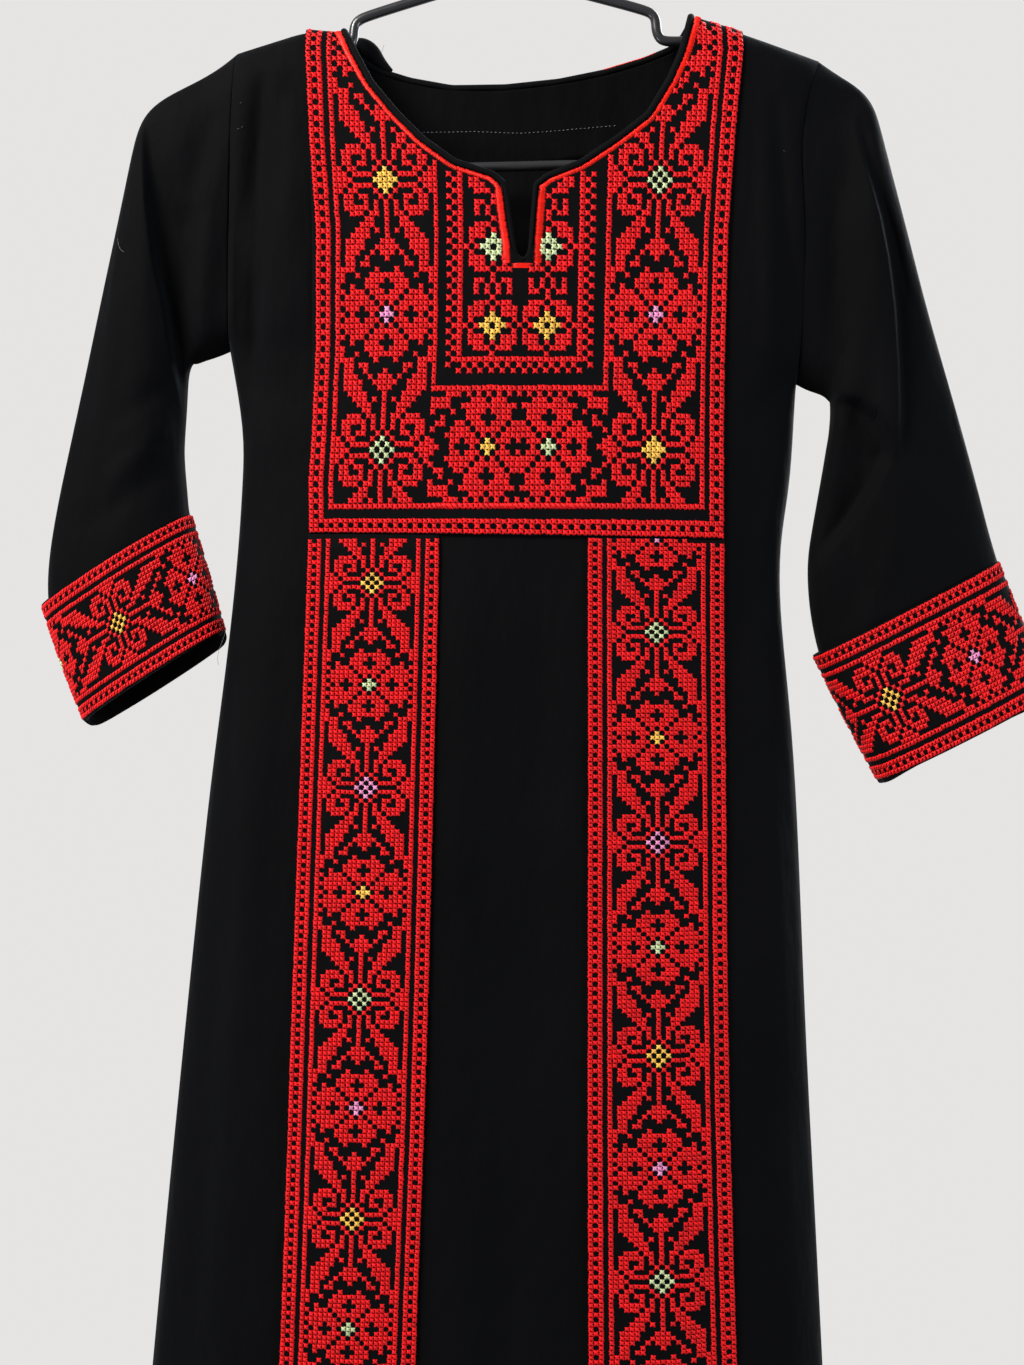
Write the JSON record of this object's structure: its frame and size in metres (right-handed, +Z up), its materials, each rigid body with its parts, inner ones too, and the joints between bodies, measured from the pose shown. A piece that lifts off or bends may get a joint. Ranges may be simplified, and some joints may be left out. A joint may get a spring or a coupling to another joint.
{
  "type": "embroidered thobe dress on a clothes hanger",
  "caption": "Long black thobe dress with cross-stitched chest panel, skirt bands and cuffs, hung from its shoulders on a tube clothes hanger.",
  "frame": {"origin": "inside top of the hanger's hook, where it rests on a rail or peg", "axes": "+Z up, +Y to the back of the dress, +X to the right as seen from the front"},
  "size_m": [0.6391, 0.1064, 1.4142],
  "materials": {
    "cloth": "matt crepe",
    "stitched": "cotton cross stitch",
    "binding": "rolled cloth edge",
    "facing": "plain cloth",
    "hanger": "satin dark grey"
  },
  "bodies": {
    "root": {"front": "cloth", "back": "cloth", "sleeve_left": "cloth", "sleeve_right": "cloth", "cuff_left": "stitched", "cuff_right": "stitched", "chest_panel": "stitched", "skirt_band_left": "stitched", "skirt_band_right": "stitched", "neck_binding": "binding", "back_neck_facing": "facing", "hanger_frame": "hanger", "hanger_hook": "hanger"}
  },
  "joints": []
}
